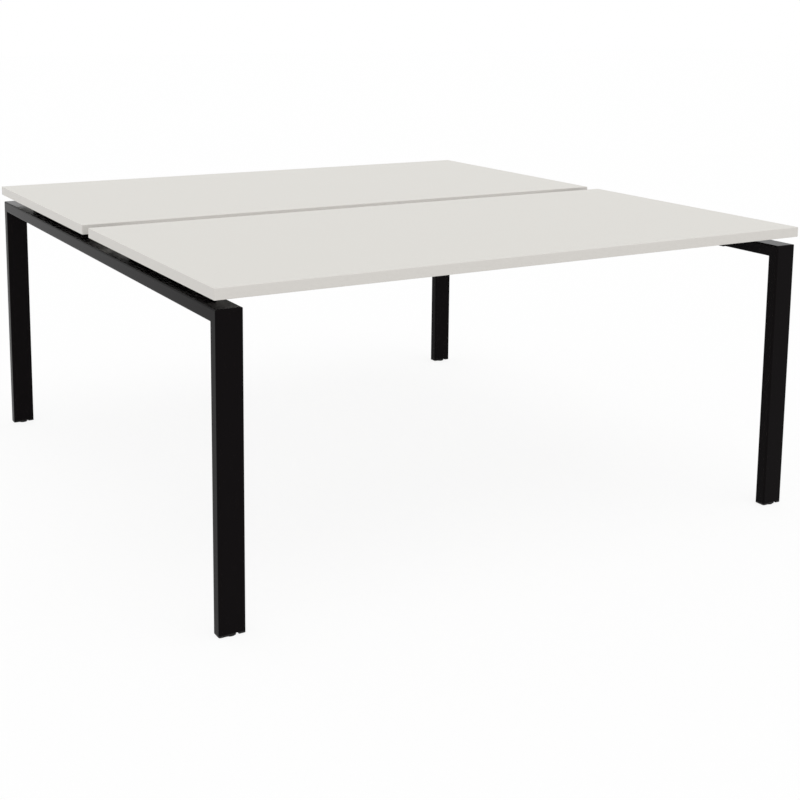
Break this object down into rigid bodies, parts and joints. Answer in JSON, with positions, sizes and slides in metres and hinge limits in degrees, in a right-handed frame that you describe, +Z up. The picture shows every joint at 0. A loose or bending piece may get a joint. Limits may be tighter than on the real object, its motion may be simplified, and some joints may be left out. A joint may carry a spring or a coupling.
{
  "type": "bench desk",
  "caption": "Back-to-back bench desk: pale worktops with a cable gap between them on black portal end frames of rectangular tube, with levelling feet.",
  "frame": {"origin": "on the floor, at the centre of the desk's footprint", "axes": "+X along the desk's length, +Y from the front worktop to the back worktop, +Z up"},
  "size_m": [1.6, 1.65, 0.735],
  "materials": {
    "worktop": "pale grey-white melamine-faced board, satin",
    "edge_band": "matching edge band, satin",
    "black_frame": "black powder coat, satin",
    "zinc_steel": "zinc-plated steel",
    "black_plastic": "moulded black plastic, matt"
  },
  "bodies": {
    "desk_frame": {"beam_back_inner": "black_frame", "beam_back_outer": "black_frame", "beam_bolts_left": "zinc_steel", "beam_bolts_right": "zinc_steel", "beam_front_inner": "black_frame", "beam_front_outer": "black_frame", "desktop_back": "worktop", "desktop_front": "worktop", "edge_band_back": "edge_band", "edge_band_front": "edge_band", "end_plate_back_inner_left": "black_frame", "end_plate_back_inner_right": "black_frame", "end_plate_back_outer_left": "black_frame", "end_plate_back_outer_right": "black_frame", "end_plate_front_inner_left": "black_frame", "end_plate_front_inner_right": "black_frame", "end_plate_front_outer_left": "black_frame", "end_plate_front_outer_right": "black_frame", "fixing_cleats_back": "black_frame", "fixing_cleats_front": "black_frame", "foot_insert_back_left": "black_plastic", "foot_insert_back_right": "black_plastic", "foot_insert_front_left": "black_plastic", "foot_insert_front_right": "black_plastic", "leg_back_left": "black_frame", "leg_back_right": "black_frame", "leg_front_left": "black_frame", "leg_front_right": "black_frame", "rail_left": "black_frame", "rail_right": "black_frame", "thread_bush_back_left": "zinc_steel", "thread_bush_back_right": "zinc_steel", "thread_bush_front_left": "zinc_steel", "thread_bush_front_right": "zinc_steel", "top_screws_back": "zinc_steel", "top_screws_front": "zinc_steel"},
    "foot_base_front_left": {"foot_base_front_left": "black_plastic"},
    "foot_stem_front_left": {"foot_stem_front_left": "zinc_steel"},
    "foot_base_front_right": {"foot_base_front_right": "black_plastic"},
    "foot_stem_front_right": {"foot_stem_front_right": "zinc_steel"},
    "foot_base_back_left": {"foot_base_back_left": "black_plastic"},
    "foot_stem_back_left": {"foot_stem_back_left": "zinc_steel"},
    "foot_base_back_right": {"foot_base_back_right": "black_plastic"},
    "foot_stem_back_right": {"foot_stem_back_right": "zinc_steel"}
  },
  "joints": [
    {"name": "foot_height_front_left", "type": "slide", "parent": "desk_frame", "child": "foot_base_front_left", "axis": [0, 0, -1], "range_m": [0, 0.0125]},
    {"name": "foot_turn_front_left", "type": "hinge", "parent": "foot_base_front_left", "child": "foot_stem_front_left", "pos_m": [-0.765, -0.805, 0.0031], "axis": [0, 0, -1], "range_deg": [0, 3600]},
    {"name": "foot_height_front_right", "type": "slide", "parent": "desk_frame", "child": "foot_base_front_right", "axis": [0, 0, -1], "range_m": [0, 0.0125]},
    {"name": "foot_turn_front_right", "type": "hinge", "parent": "foot_base_front_right", "child": "foot_stem_front_right", "pos_m": [0.765, -0.805, 0.0031], "axis": [0, 0, -1], "range_deg": [0, 3600]},
    {"name": "foot_height_back_left", "type": "slide", "parent": "desk_frame", "child": "foot_base_back_left", "axis": [0, 0, -1], "range_m": [0, 0.0125]},
    {"name": "foot_turn_back_left", "type": "hinge", "parent": "foot_base_back_left", "child": "foot_stem_back_left", "pos_m": [-0.765, 0.805, 0.0031], "axis": [0, 0, -1], "range_deg": [0, 3600]},
    {"name": "foot_height_back_right", "type": "slide", "parent": "desk_frame", "child": "foot_base_back_right", "axis": [0, 0, -1], "range_m": [0, 0.0125]},
    {"name": "foot_turn_back_right", "type": "hinge", "parent": "foot_base_back_right", "child": "foot_stem_back_right", "pos_m": [0.765, 0.805, 0.0031], "axis": [0, 0, -1], "range_deg": [0, 3600]}
  ],
  "couplings": [
    {"joint": "foot_height_front_left", "follows": "foot_turn_front_left", "m_per_rad": 0.00019894},
    {"joint": "foot_height_front_right", "follows": "foot_turn_front_right", "m_per_rad": 0.00019894},
    {"joint": "foot_height_back_left", "follows": "foot_turn_back_left", "m_per_rad": 0.00019894},
    {"joint": "foot_height_back_right", "follows": "foot_turn_back_right", "m_per_rad": 0.00019894}
  ]
}
